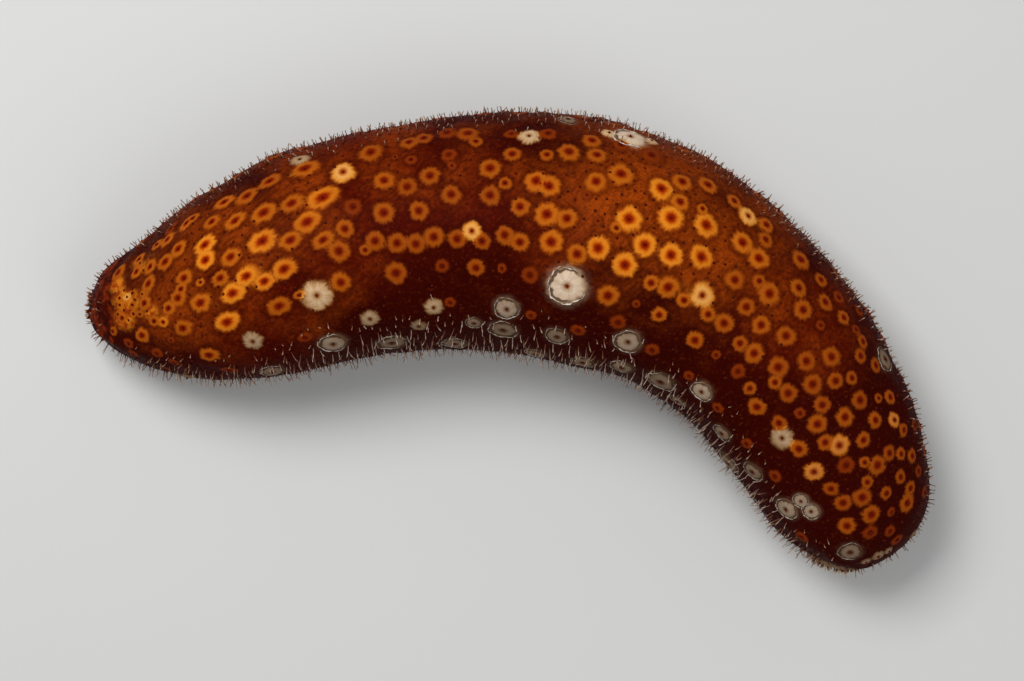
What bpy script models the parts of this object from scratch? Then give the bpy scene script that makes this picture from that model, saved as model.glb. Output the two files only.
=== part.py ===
"""An eyespot sea cucumber, life size, lying in a bend on the floor.

The body is one rounded solid, drawn along a bent axis and flat where it rests. It is parted
by thin cuts into lengths, from the anus at the left end to the mouth under the right end.
The outline goes out to the tips of the tube feet that cover the skin.
"""

from math import acos, atan2, cos, pi, radians, sin

import bmesh
import bpy
import numpy as np
from mathutils import Vector

MM = 0.001
OBJECT_NAME = "sea_cucumber"

# The axis of the body, seen from above: where it starts, how long it is, and its heading in
# degrees from +X at shares of that length.
ANUS_PLACE = Vector((-149.6 * MM, 14.0 * MM, 0.0))
BODY_LENGTH = 343.0 * MM
HEADING = (
    (0.00, -6.0),
    (0.10, 10.0),
    (0.20, 19.0),
    (0.32, 10.0),
    (0.44, -1.0),
    (0.56, -18.0),
    (0.68, -38.0),
    (0.80, -57.0),
    (0.90, -65.0),
    (1.00, -68.0),
)
AXIS_STEPS = 2000

# Half the width of the body at shares of its length, before its ends are rounded off.
HALF_WIDTH = (
    (0.00, 12.6 * MM),
    (0.06, 24.9 * MM),
    (0.12, 33.7 * MM),
    (0.20, 39.7 * MM),
    (0.35, 42.9 * MM),
    (0.55, 46.2 * MM),
    (0.70, 41.3 * MM),
    (0.85, 36.8 * MM),
    (1.00, 27.4 * MM),
)

# Each end rounds off over a share of the length. A higher power makes a blunter end.
ANAL_CAP, ANAL_BLUNTNESS = 0.028, 2.8
ORAL_CAP, ORAL_BLUNTNESS = 0.10, 2.4

# The cross-section: a half ellipse above the widest level, and a fuller curve below it that
# sinks a little past the floor, where it is flattened into the sole.
HEIGHT_TO_WIDTH = 0.82
WIDEST_LEVEL = 0.42
BELLY_FULLNESS = 2.6
BELLY_SINK = 1.09

# Each end is carried a little above the floor, over a share of the length.
ANAL_LIFT, ANAL_LIFT_REACH = 4.0 * MM, 0.10
ORAL_LIFT, ORAL_LIFT_REACH = 3.0 * MM, 0.08

# The faces of the body, with more of them towards the ends.
FACES_AROUND = 40
FACES_ALONG = 54
END_CROWDING = 0.93

# Thin cuts part the body at these shares of its length.
GAP = 0.3 * MM
LENGTHS = (
    ("anal_end", 0.0, 0.055),
    ("hind_trunk", 0.055, 0.23),
    ("hind_mid_trunk", 0.23, 0.40),
    ("mid_trunk", 0.40, 0.57),
    ("fore_mid_trunk", 0.57, 0.74),
    ("fore_trunk", 0.74, 0.90),
    ("oral_end", 0.90, 1.0),
)

# The mouth, on the belly side of the right end: its share of the length and its angle
# round the body, counted from the level of the outer bend over the back.
MOUTH_SHARE, MOUTH_ANGLE = 0.985, radians(222)
LIP_RADIUS = 7.0 * MM
LIP_THICKNESS = 2.7 * MM
LIP_SINK = 1.6 * MM
LIP_FACES = (60, 8)
BED_FACES = (40, 8)
TENTACLES = 20
LOBE_DEPTH = 0.35 * MM
CROWN_RADIUS = 3.6 * MM
CROWN_DEPTH = 3.0 * MM
CROWN_FACES = (60, 8)

# The anus, at the tip of the left end.
RIM_RADIUS = 4.4 * MM
RIM_THICKNESS = 1.9 * MM
RIM_SINK = 0.4 * MM
RIM_FACES = (32, 8)
VENT_RADIUS = 2.4 * MM
VENT_DEPTH = 5.0 * MM
VENT_FACES = (24, 12)

BACK_COLOUR = (0.16, 0.05, 0.02)
TRUNK_COLOUR = (0.22, 0.075, 0.025)
END_COLOUR = (0.09, 0.02, 0.012)
LIP_COLOUR = (0.30, 0.20, 0.13)
TENTACLE_COLOUR = (0.42, 0.33, 0.22)
RIM_COLOUR = (0.12, 0.03, 0.02)
WET_ROUGHNESS = 0.35


def smooth(stations, share):
    """The value at a share of the length, on a smooth line through (share, value) stations."""
    shares, values = np.array(stations).T
    slopes = np.gradient(values, shares)
    share = np.asarray(share, float)
    before = np.clip(np.searchsorted(shares, share) - 1, 0, len(shares) - 2)
    span = shares[before + 1] - shares[before]
    t = (share - shares[before]) / span
    near = values[before] * (1 + 2 * t) + slopes[before] * span * t
    far = values[before + 1] * (3 - 2 * t) - slopes[before + 1] * span * (1 - t)
    return near * (1 - t) ** 2 + far * t ** 2


def axis_path():
    """Points and headings along the bent axis, by following the heading in short steps."""
    shares = np.linspace(0, 1, AXIS_STEPS + 1)
    headings = np.radians(smooth(HEADING, shares))
    middles = np.radians(smooth(HEADING, (shares[1:] + shares[:-1]) / 2))
    step = BODY_LENGTH / AXIS_STEPS
    x = ANUS_PLACE.x + step * np.concatenate([[0], np.cumsum(np.cos(middles))])
    y = ANUS_PLACE.y + step * np.concatenate([[0], np.cumsum(np.sin(middles))])
    return shares, headings, x, y


PATH_SHARES, PATH_HEADINGS, PATH_X, PATH_Y = axis_path()


def axis_at(share):
    """The point on the floor under the axis, and the directions ahead and to the left."""
    heading = np.interp(share, PATH_SHARES, PATH_HEADINGS)
    point = Vector((np.interp(share, PATH_SHARES, PATH_X), np.interp(share, PATH_SHARES, PATH_Y), 0))
    return point, Vector((cos(heading), sin(heading), 0)), Vector((-sin(heading), cos(heading), 0))


def rounding(distance, reach, bluntness):
    """How far an end has rounded off: 0 at its tip, and 1 from its reach inwards."""
    left = 1 - min(distance / reach, 1)
    return (1 - left ** bluntness) ** (1 / bluntness)


def lift(distance, height, reach):
    """How high an end is carried, fading out along the body."""
    left = 1 - min(distance / reach, 1)
    return height * left ** 2


def surface_point(share, angle):
    """A point on the body: 0 is the level of the outer bend and a quarter turn is the top."""
    point, ahead, left = axis_at(share)
    cap = rounding(share, ANAL_CAP, ANAL_BLUNTNESS) * rounding(1 - share, ORAL_CAP, ORAL_BLUNTNESS)
    half_width = float(smooth(HALF_WIDTH, share))
    height = HEIGHT_TO_WIDTH * 2 * half_width
    level = WIDEST_LEVEL * height
    raised = lift(share, ANAL_LIFT, ANAL_LIFT_REACH) + lift(1 - share, ORAL_LIFT, ORAL_LIFT_REACH)
    across, up = cos(angle), sin(angle)
    if up >= 0:
        rise = (height - level) * up
    else:
        power = 2 / BELLY_FULLNESS
        across = abs(across) ** power * (1 if across > 0 else -1)
        rise = -BELLY_SINK * level * abs(up) ** power
    z = max(level + raised + cap * rise, 0)
    return point + left * half_width * cap * across + Vector((0, 0, z))


def surface_normal(share, angle):
    """The direction that the skin faces at a place on the body."""
    small = 0.001
    along = surface_point(min(share + small, 1), angle) - surface_point(share - small, angle)
    around = surface_point(share, angle + small) - surface_point(share, angle - small)
    return around.cross(along).normalized()


def whole_body():
    """The whole body as one closed mesh: a sphere drawn out along the axis."""
    mesh = bmesh.new()
    bmesh.ops.create_uvsphere(mesh, u_segments=FACES_AROUND, v_segments=FACES_ALONG, radius=1)
    for vert in mesh.verts:
        from_tip = acos(max(-1, min(1, -vert.co.z)))
        share = from_tip / pi - END_CROWDING * sin(2 * from_tip) / (2 * pi)
        vert.co = surface_point(min(max(share, 0), 1), atan2(vert.co.y, vert.co.x))
    return mesh


def cut_off(mesh, share, side):
    """Cut the body square to its axis and close it there, half a gap back from the cut."""
    point, ahead, _ = axis_at(share)
    outward = ahead * side
    everything = mesh.verts[:] + mesh.edges[:] + mesh.faces[:]
    cut = bmesh.ops.bisect_plane(
        mesh,
        geom=everything,
        dist=1e-7,
        plane_co=point - outward * GAP / 2,
        plane_no=outward,
        clear_outer=True,
    )
    rim = [edge for edge in cut["geom_cut"] if isinstance(edge, bmesh.types.BMEdge)]
    bmesh.ops.holes_fill(mesh, edges=rim)
    bmesh.ops.recalc_face_normals(mesh, faces=mesh.faces[:])


def material(name, colour):
    """A wet skin finish in one colour."""
    made = bpy.data.materials.new(name)
    made.use_nodes = True
    shader = made.node_tree.nodes["Principled BSDF"]
    shader.inputs["Base Color"].default_value = (*colour, 1)
    shader.inputs["Roughness"].default_value = WET_ROUGHNESS
    shader.inputs["Metallic"].default_value = 0
    return made


def add_piece(name, mesh, collection, colour):
    """A named piece in its collection, with its own material, shaded smooth."""
    data = bpy.data.meshes.new(name)
    mesh.to_mesh(data)
    mesh.free()
    data.shade_smooth()
    piece = bpy.data.objects.new(name, data)
    piece.data.materials.append(material(name + "_skin", colour))
    collection.objects.link(piece)
    return piece


def face_out(piece, share, angle, sink):
    """Set a piece on the body, its own +Z out of the skin, sunk in a little."""
    outward = surface_normal(share, angle)
    piece.location = surface_point(share, angle) - outward * sink
    piece.rotation_euler = outward.to_track_quat("Z", "Y").to_euler()


def ring_mesh(radius, thickness, faces, lobes=0):
    """A rounded ring about +Z, its outside parted into lobes."""
    around, across = faces
    bpy.ops.mesh.primitive_torus_add(
        major_radius=radius,
        minor_radius=thickness,
        major_segments=around,
        minor_segments=across,
    )
    made = bpy.context.object
    mesh = bmesh.new()
    mesh.from_mesh(made.data)
    bpy.data.objects.remove(made)
    if lobes:
        for vert in mesh.verts:
            bump = LOBE_DEPTH * cos(lobes * atan2(vert.co.y, vert.co.x))
            middle = vert.co.xy.normalized() * radius
            out = (vert.co - Vector((*middle, 0))).normalized()
            vert.co += out * bump
    return mesh


def dome_mesh(radius, depth, faces, lobes=0):
    """A squat ball about +Z, its side parted into lobes."""
    around, along = faces
    mesh = bmesh.new()
    bmesh.ops.create_uvsphere(mesh, u_segments=around, v_segments=along, radius=1)
    for vert in mesh.verts:
        x, y, z = vert.co
        reach = radius
        if lobes:
            reach += LOBE_DEPTH * cos(lobes * atan2(y, x)) * (x * x + y * y)
        vert.co = (x * reach, y * reach, z * depth)
    return mesh


def drum_mesh(radius, height, faces):
    """A round drum that stands on its own floor, about +Z."""
    mesh = bmesh.new()
    bmesh.ops.create_cone(mesh, cap_ends=True, segments=faces, radius1=radius, radius2=radius, depth=height)
    bmesh.ops.translate(mesh, verts=mesh.verts, vec=(0, 0, height / 2))
    return mesh


def add_cutter(name, mesh, collection):
    """A shape that is cut out of its neighbour and isn't part of the object."""
    data = bpy.data.meshes.new(name)
    mesh.to_mesh(data)
    mesh.free()
    cutter = bpy.data.objects.new(name, data)
    cutter.hide_render = True
    cutter.display_type = "WIRE"
    collection.objects.link(cutter)
    return cutter


def cut_out(piece, cutter):
    """Cut one shape out of a piece."""
    cut = piece.modifiers.new("cut_" + cutter.name, "BOOLEAN")
    cut.operation = "DIFFERENCE"
    cut.solver = "EXACT"
    cut.object = cutter


def add_lengths(parts):
    """The lengths of the body, tail first."""
    colours = {"anal_end": END_COLOUR, "oral_end": BACK_COLOUR}
    pieces = {}
    for name, start, end in LENGTHS:
        mesh = whole_body()
        if start > 0:
            cut_off(mesh, start, -1)
        if end < 1:
            cut_off(mesh, end, 1)
        pieces[name] = add_piece(name, mesh, parts, colours.get(name, TRUNK_COLOUR))
    return pieces


def add_mouth(parts, cutters, oral_end):
    """The lobed lip and the drawn-in crown of tentacles, each bedded in the oral end."""
    room = GAP + LOBE_DEPTH
    lip_mesh = ring_mesh(LIP_RADIUS, LIP_THICKNESS, LIP_FACES, TENTACLES)
    crown_mesh = dome_mesh(CROWN_RADIUS, CROWN_DEPTH, CROWN_FACES, TENTACLES)
    lip_bed_mesh = ring_mesh(LIP_RADIUS, LIP_THICKNESS + room, BED_FACES)
    crown_bed_mesh = dome_mesh(CROWN_RADIUS + room, CROWN_DEPTH + room, BED_FACES)
    opening_mesh = drum_mesh(LIP_RADIUS, 2 * LIP_THICKNESS, BED_FACES[0])
    lip = add_piece("mouth_lip", lip_mesh, parts, LIP_COLOUR)
    crown = add_piece("tentacle_crown", crown_mesh, parts, TENTACLE_COLOUR)
    lip_bed = add_cutter("lip_bed", lip_bed_mesh, cutters)
    crown_bed = add_cutter("crown_bed", crown_bed_mesh, cutters)
    opening = add_cutter("mouth_opening", opening_mesh, cutters)
    for piece in (lip, crown, lip_bed, crown_bed, opening):
        face_out(piece, MOUTH_SHARE, MOUTH_ANGLE, LIP_SINK)
    for cutter in (lip_bed, crown_bed, opening):
        cut_out(oral_end, cutter)


def add_anus(parts, cutters, anal_end):
    """The puckered rim round the opening at the tip of the anal end."""
    rim = add_piece("anal_rim", ring_mesh(RIM_RADIUS, RIM_THICKNESS, RIM_FACES), parts, RIM_COLOUR)
    rim_bed = add_cutter("rim_bed", ring_mesh(RIM_RADIUS, RIM_THICKNESS + GAP, RIM_FACES), cutters)
    vent = add_cutter("vent", dome_mesh(VENT_RADIUS, VENT_DEPTH, VENT_FACES), cutters)
    tip = surface_point(0, 0)
    _, ahead, _ = axis_at(0)
    for piece in (rim, rim_bed, vent):
        piece.location = tip + ahead * RIM_SINK
        piece.rotation_euler = (-ahead).to_track_quat("Z", "Y").to_euler()
    cut_out(anal_end, rim_bed)
    cut_out(anal_end, vent)


def new_collection(name):
    """A collection in the scene."""
    collection = bpy.data.collections.new(name)
    bpy.context.scene.collection.children.link(collection)
    return collection


def main():
    """Build the sea cucumber in an empty scene."""
    for old in list(bpy.data.objects):
        bpy.data.objects.remove(old)
    parts = new_collection(OBJECT_NAME)
    cutters = new_collection("cutters")
    lengths = add_lengths(parts)
    add_mouth(parts, cutters, lengths["oral_end"])
    add_anus(parts, cutters, lengths["anal_end"])


main()
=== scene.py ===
"""A life-size sea cucumber lying in a bend, with its eyespots, tube feet, mouth and vent."""

from collections import namedtuple
from math import pi, radians

import bpy
import numpy as np
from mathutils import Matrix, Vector
from mathutils.bvhtree import BVHTree


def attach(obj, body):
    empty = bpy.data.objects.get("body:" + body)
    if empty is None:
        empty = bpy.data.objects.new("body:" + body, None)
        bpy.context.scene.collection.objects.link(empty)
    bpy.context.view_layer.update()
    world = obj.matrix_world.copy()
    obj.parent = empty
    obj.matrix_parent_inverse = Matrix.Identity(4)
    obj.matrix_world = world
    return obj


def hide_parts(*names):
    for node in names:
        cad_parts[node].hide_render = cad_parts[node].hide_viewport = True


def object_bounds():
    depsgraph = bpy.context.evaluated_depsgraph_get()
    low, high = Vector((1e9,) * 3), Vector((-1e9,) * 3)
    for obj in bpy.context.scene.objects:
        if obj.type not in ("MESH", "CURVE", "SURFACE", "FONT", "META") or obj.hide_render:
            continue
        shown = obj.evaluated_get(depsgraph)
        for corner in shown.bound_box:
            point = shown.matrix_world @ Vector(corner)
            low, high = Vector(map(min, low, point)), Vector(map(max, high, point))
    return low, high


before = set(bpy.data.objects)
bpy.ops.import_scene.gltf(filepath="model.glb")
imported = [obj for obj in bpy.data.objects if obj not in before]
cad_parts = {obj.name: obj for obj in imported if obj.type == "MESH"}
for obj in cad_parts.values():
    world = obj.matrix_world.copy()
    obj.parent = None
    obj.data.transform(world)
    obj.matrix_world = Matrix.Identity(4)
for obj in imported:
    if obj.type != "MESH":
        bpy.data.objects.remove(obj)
bounds_at_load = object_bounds()

MM = 0.001

# The body's outline: the same lines as the solid part.
ANUS_PLACE = (-149.6 * MM, 14.0 * MM)
BODY_LENGTH = 343.0 * MM
HEADING = ((0.00, -6.0), (0.10, 10.0), (0.20, 19.0), (0.32, 10.0), (0.44, -1.0),
           (0.56, -18.0), (0.68, -38.0), (0.80, -57.0), (0.90, -65.0), (1.00, -68.0))
AXIS_STEPS = 2000
HALF_WIDTH = ((0.00, 12.6 * MM), (0.06, 24.9 * MM), (0.12, 33.7 * MM), (0.20, 39.7 * MM), (0.35, 42.9 * MM),
              (0.55, 46.2 * MM), (0.70, 41.3 * MM), (0.85, 36.8 * MM), (1.00, 27.4 * MM))
ANAL_CAP, ANAL_BLUNTNESS = 0.028, 2.8
ORAL_CAP, ORAL_BLUNTNESS = 0.10, 2.4
HEIGHT_TO_WIDTH = 0.82
WIDEST_LEVEL = 0.42
BELLY_FULLNESS = 2.6
BELLY_SINK = 1.09
ANAL_LIFT, ANAL_LIFT_REACH = 4.0 * MM, 0.10
ORAL_LIFT, ORAL_LIFT_REACH = 3.0 * MM, 0.08
END_CROWDING = 0.93
SMALL_STEP = 0.0003

# The skin: how many rows and columns it has, how many waves are summed in its folds, how deep it lies
# inside the outline, where its mouth is and how far up its vent faces.
ROWS, COLUMNS = 350, 268
WAVE_COUNT = 24
MID_BACK = radians(50)
BACK_DEPTH, FLANK_DEPTH, SOLE_DEPTH = 2.5 * MM, 4.4 * MM, 1.0 * MM
FLANK_FROM, FLANK_TO = radians(80), radians(112)
SOLE_SOFTNESS = 1.5 * MM
MOUTH_SHARE, MOUTH_ANGLE = 0.985, radians(222)
VENT_TILT = 0.1

# The camera looks straight down, as the photographer's did.
PICTURE_SIZE = (1024, 681)
LENS, SENSOR = 100.0, 36.0
CAMERA_PLACE = Vector((2.6 * MM, 1.9 * MM, 1025.6 * MM))
PIXELS_PER_SLOPE = PICTURE_SIZE[0] * LENS / SENSOR

# Eyespots as (across, down, width) in pixels of the picture, by kind.
EYESPOTS = {
    "bright": (
        (205, 245, 22), (205, 260, 21), (262, 241, 26), (233, 293, 24), (247, 276, 22), (265, 281, 20),
        (284, 269, 24), (323, 198, 28), (307, 222, 25), (227, 322, 25), (120, 298, 9), (120, 305, 9),
        (536, 181, 22), (549, 186, 22), (629, 219, 26), (671, 218, 26), (706, 225, 25), (661, 189, 24),
        (645, 245, 24), (671, 255, 24), (701, 257, 24), (625, 265, 25), (598, 248, 24),
        (547, 214, 24), (743, 242, 22), (759, 258, 22), (551, 242, 24), (163, 322, 13)),
    "orange": (
        (231, 257, 20), (235, 221, 20), (212, 222, 16), (224, 202, 18), (247, 196, 20), (194, 219, 12),
        (187, 224, 16), (179, 249, 18), (168, 240, 16), (157, 245, 12), (166, 262, 18), (151, 267, 16),
        (139, 259, 14), (137, 272, 14), (119, 273, 16), (149, 284, 18), (184, 278, 18), (200, 282, 10),
        (220, 278, 18), (200, 303, 22), (178, 298, 18), (169, 308, 16), (145, 303, 16), (133, 293, 9),
        (132, 305, 9), (122, 318, 13), (118, 314, 9), (140, 314, 9), (133, 314, 9), (154, 321, 14),
        (143, 294, 8), (135, 300, 7), (181, 289, 14), (113, 331, 12),
        (142, 335, 18), (183, 328, 20), (209, 355, 20), (279, 306, 22), (299, 295, 11), (384, 180, 20),
        (407, 187, 20), (409, 143, 17), (424, 139, 17), (371, 153, 22), (292, 204, 21), (264, 213, 23),
        (384, 213, 22), (345, 229, 18), (323, 240, 20), (290, 240, 22), (375, 241, 20), (397, 243, 20),
        (305, 169, 24), (270, 182, 19), (339, 251, 22), (365, 250, 12), (341, 282, 20), (396, 273, 22),
        (468, 134, 20), (476, 142, 13), (430, 176, 20), (451, 194, 20), (490, 168, 21), (490, 195, 21),
        (505, 183, 14), (419, 211, 20), (512, 153, 18), (520, 207, 19), (567, 218, 20), (416, 244, 19),
        (434, 237, 20), (457, 239, 19), (482, 241, 18), (505, 235, 19), (520, 242, 19), (476, 268, 17),
        (569, 152, 22), (597, 155, 19), (621, 174, 24), (596, 182, 21), (682, 182, 20), (708, 185, 20),
        (680, 202, 19), (702, 209, 12), (616, 228, 12), (577, 254, 20), (608, 295, 22), (651, 283, 16),
        (668, 287, 22), (708, 314, 16), (724, 323, 20), (659, 315, 16), (695, 340, 18), (735, 280, 20),
        (759, 281, 14), (769, 294, 22), (746, 307, 18), (761, 325, 19), (786, 336, 20), (798, 288, 18),
        (803, 310, 20), (825, 302, 17), (843, 318, 15), (740, 343, 16), (754, 353, 20), (778, 367, 21),
        (806, 361, 19), (831, 357, 20), (852, 378, 14), (860, 356, 15), (862, 342, 14), (766, 225, 16),
        (766, 239, 16), (800, 260, 20), (734, 201, 15), (592, 140, 18), (547, 155, 14), (684, 300, 15),
        (750, 388, 14), (757, 407, 18), (775, 382, 14), (788, 393, 19), (812, 384, 20), (835, 381, 17),
        (860, 400, 19), (822, 405, 18), (817, 424, 20), (845, 417, 20), (779, 423, 16), (799, 448, 18),
        (825, 442, 16), (863, 440, 16), (875, 420, 16), (890, 397, 14), (879, 398, 10), (903, 430, 13),
        (889, 453, 16), (901, 454, 13), (912, 456, 14), (877, 465, 20), (864, 462, 12), (901, 477, 14),
        (910, 488, 14), (907, 503, 18), (867, 482, 13), (862, 497, 20), (871, 514, 19), (831, 489, 16),
        (843, 503, 18), (847, 526, 18), (886, 493, 14), (876, 365, 15), (820, 280, 14)),
    "dim": (
        (171, 229, 14), (229, 369, 15), (110, 340, 12), (129, 343, 14), (134, 353, 12), (157, 353, 14),
        (174, 362, 12), (166, 367, 12), (201, 323, 9), (171, 340, 9), (353, 207, 18), (305, 338, 14),
        (447, 134, 18), (449, 156, 16), (411, 160, 12), (452, 166, 9), (395, 157, 7), (442, 266, 15),
        (502, 268, 10), (530, 275, 18), (450, 302, 11), (531, 315, 11), (511, 133, 14), (548, 134, 16),
        (578, 331, 15), (618, 322, 17), (636, 304, 9), (587, 195, 9), (598, 221, 9), (621, 145, 16),
        (651, 156, 20), (652, 350, 14), (716, 355, 10), (689, 376, 11), (738, 371, 15), (718, 407, 12),
        (747, 443, 12), (775, 476, 14), (800, 413, 12), (846, 465, 18), (821, 325, 11), (838, 298, 13),
        (858, 311, 12), (855, 330, 10), (918, 471, 12), (891, 512, 10), (870, 532, 16), (890, 531, 12),
        (897, 540, 13), (923, 492, 11), (924, 512, 11), (913, 425, 11), (802, 537, 13)),
    "cream": ((317, 295, 30), (529, 136, 21), (609, 133, 14), (651, 142, 12)),
    "tan": ((253, 341, 20), (370, 318, 19), (434, 306, 18), (782, 438, 23), (300, 160, 18)),
    "dark tan": (
        (419, 325, 15), (188, 375, 13), (878, 556, 13), (889, 551, 9), (866, 561, 10), (913, 534, 10)),
    "pale ring": ((127, 297, 10), (343, 172, 24), (472, 231, 20), (702, 295, 25), (748, 216, 20)),
    "faint pale ring": ((814, 471, 20), (839, 445, 22), (894, 420, 15)),
    "ringed": (
        (392, 343, 26), (455, 343, 22), (503, 330, 26), (474, 323, 15), (557, 337, 22), (536, 352, 18),
        (583, 361, 20), (622, 366, 21), (661, 381, 27), (678, 401, 15), (697, 430, 20), (723, 432, 18),
        (730, 462, 22), (753, 471, 20), (850, 551, 22), (272, 369, 20), (885, 359, 22), (568, 121, 16),
        (752, 497, 15)),
    "tan ringed": (
        (507, 308, 24), (628, 342, 26), (702, 391, 21), (801, 501, 16), (811, 512, 18), (786, 509, 22),
        (333, 343, 25)),
    "white ringed": ((567, 286, 38), (630, 138, 30)),
}
# How cream, how bright and how ringed each kind is.
EYESPOT_LOOK = {
    "bright": (0.0, 1.0, 0.0),
    "orange": (0.0, 0.8, 0.0),
    "dim": (0.0, 0.2, 0.0),
    "cream": (1.0, 0.9, 0.0),
    "tan": (1.0, 0.5, 0.0),
    "dark tan": (1.0, 0.2, 0.0),
    "pale ring": (0.5, 1.0, 0.0),
    "faint pale ring": (0.22, 0.8, 0.0),
    "ringed": (1.0, 0.1, 1.0),
    "tan ringed": (1.0, 0.38, 1.0),
    "white ringed": (1.0, 1.0, 1.0),
}
EYESPOT_SEED = 41
Eyespot = namedtuple("Eyespot", "place facing radius look stretch")
# Where the skin turns away from the camera an eyespot is wider than it looks, and darkened by painted shade.
EDGE_GROWTH, EDGE_PAINTED_SHADE = 0.30, 0.5
# How far chance dims an eyespot, and how far painted shade darkens each outside the pools of painted light.
CHANCE_DIMMING, UNLIT_PAINTED_SHADE = 0.2, 0.32
# Left of a line in the picture, by the vent, the eyespots are smaller and drawn out one way.
VENT_END, VENT_GROWTH, VENT_STRETCH = 330, 0.80, 0.34
STRETCH_WAY = np.array((0.87, 0.5, 0.0))
# The flank that the picture doesn't show: where its eyespots are, their radius in millimetres and the
# space between them in their radii, and below which angle they are often dim or ringed.
UNSEEN_TRIES = 3000
UNSEEN_SHARES, UNSEEN_ANGLES = (0.03, 0.95), (radians(-42), radians(14))
UNSEEN_RADIUS, RINGED_GROWTH = (2.6, 4.0), 1.15
UPPER_SPACING, LOWER_SPACING = 1.3, 1.45
LOW_FLANK, LOWEST_RINGED = radians(-14), radians(-36)
RINGED_CHANCE, DIM_CHANCE = 0.5, 0.6
# The direction that eyespots' offsets are measured by, how far off they are stored, in radii, how
# softly neighbours' looks blend, and in how many batches they are worked out.
OFFSET_WAY = (0.31, 0.95, 0.05)
LOOK_LIMIT, LOOK_BLEND = 3.0, 0.14
BATCHES = 40


def fade(value, low, high):
    """Runs smoothly from 0 at low to 1 at high."""
    share = np.clip((value - low) / (high - low), 0, 1)
    return share * share * (3 - 2 * share)


def smooth(stations, share):
    """The value at a share of the length, on a smooth line through (share, value) stations."""
    shares, values = np.array(stations).T
    slopes = np.gradient(values, shares)
    before = np.clip(np.searchsorted(shares, share) - 1, 0, len(shares) - 2)
    span = shares[before + 1] - shares[before]
    t = (share - shares[before]) / span
    near = values[before] * (1 + 2 * t) + slopes[before] * span * t
    far = values[before + 1] * (3 - 2 * t) - slopes[before + 1] * span * (1 - t)
    return near * (1 - t) ** 2 + far * t ** 2


def axis_path():
    """Points and headings along the bent axis, by following the heading in short steps."""
    shares = np.linspace(0, 1, AXIS_STEPS + 1)
    headings = np.radians(smooth(HEADING, shares))
    middles = np.radians(smooth(HEADING, (shares[1:] + shares[:-1]) / 2))
    step = BODY_LENGTH / AXIS_STEPS
    x = ANUS_PLACE[0] + step * np.concatenate([[0], np.cumsum(np.cos(middles))])
    y = ANUS_PLACE[1] + step * np.concatenate([[0], np.cumsum(np.sin(middles))])
    return shares, headings, x, y


PATH_SHARES, PATH_HEADINGS, PATH_X, PATH_Y = axis_path()


def rounding(distance, reach, bluntness):
    """How far an end has rounded off: 0 at its tip, and 1 from its reach inwards."""
    left = 1 - np.minimum(distance / reach, 1)
    return (1 - left ** bluntness) ** (1 / bluntness)


def lift(distance, height, reach):
    """How high an end is carried, fading out along the body."""
    left = 1 - np.minimum(distance / reach, 1)
    return height * left ** 2


def outline_point(share, angle):
    """Points on the outline: angle 0 is the level of the outer bend and a quarter turn is the top."""
    heading = np.interp(share, PATH_SHARES, PATH_HEADINGS)
    cap = rounding(share, ANAL_CAP, ANAL_BLUNTNESS) * rounding(1 - share, ORAL_CAP, ORAL_BLUNTNESS)
    half_width = smooth(HALF_WIDTH, share)
    height = HEIGHT_TO_WIDTH * 2 * half_width
    level = WIDEST_LEVEL * height
    raised = lift(share, ANAL_LIFT, ANAL_LIFT_REACH) + lift(1 - share, ORAL_LIFT, ORAL_LIFT_REACH)
    across, up = np.cos(angle), np.sin(angle)
    power = 2 / BELLY_FULLNESS
    belly_across = np.abs(across) ** power * np.sign(across)
    belly_rise = -BELLY_SINK * level * np.abs(up) ** power
    rise = np.where(up >= 0, (height - level) * up, belly_rise)
    reach = half_width * cap * np.where(up >= 0, across, belly_across)
    x = np.interp(share, PATH_SHARES, PATH_X) - np.sin(heading) * reach
    y = np.interp(share, PATH_SHARES, PATH_Y) + np.cos(heading) * reach
    return np.stack((x, y, level + raised + cap * rise), -1)


def unit(vectors):
    """The same directions with a length of 1."""
    return vectors / np.maximum(np.linalg.norm(vectors, axis=-1, keepdims=True), 1e-12)


def outline_normal(share, angle):
    """The direction that the outline faces."""
    share = np.clip(share, 2 * SMALL_STEP, 1 - 2 * SMALL_STEP)
    along = outline_point(share + SMALL_STEP, angle) - outline_point(share - SMALL_STEP, angle)
    around = outline_point(share, angle + SMALL_STEP) - outline_point(share, angle - SMALL_STEP)
    return unit(np.cross(around, along))


def half_turned(angle):
    """The same angle, from minus half a turn to half a turn."""
    return (angle + pi) % (2 * pi) - pi


def from_mid_back(angle):
    """How far round from the middle of the back an angle is, either way."""
    return np.abs(half_turned(angle - MID_BACK))


def skin_depth(angle, normals):
    """How far the skin lies inside the outline, which goes out to the tips of the feet."""
    depth = BACK_DEPTH + (FLANK_DEPTH - BACK_DEPTH) * fade(from_mid_back(angle), FLANK_FROM, FLANK_TO)
    sole = fade(-normals[..., 2], 0.80, 1.0)
    return depth + (SOLE_DEPTH - depth) * sole


def skin_point(share, angle):
    """Points on the smooth skin, before its folds, and the directions that it faces."""
    normals = outline_normal(share, angle)
    points = outline_point(share, angle) - normals * skin_depth(angle, normals)[..., None]
    above = points[..., 2] - SOLE_DEPTH
    points[..., 2] = SOLE_DEPTH + (above + np.sqrt(above ** 2 + SOLE_SOFTNESS ** 2)) / 2
    return points, normals


def waves(points, height, length, seed):
    """Smooth noise of about a height up and down, with bumps about a length apart."""
    chance = np.random.default_rng(seed)
    directions = unit(chance.normal(size=(WAVE_COUNT, 3)))
    phases = chance.uniform(0, 2 * pi, WAVE_COUNT)
    summed = np.sin(points @ directions.T * (2 * pi / length) + phases).sum(-1)
    return height * (summed / WAVE_COUNT ** 0.5)


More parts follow.
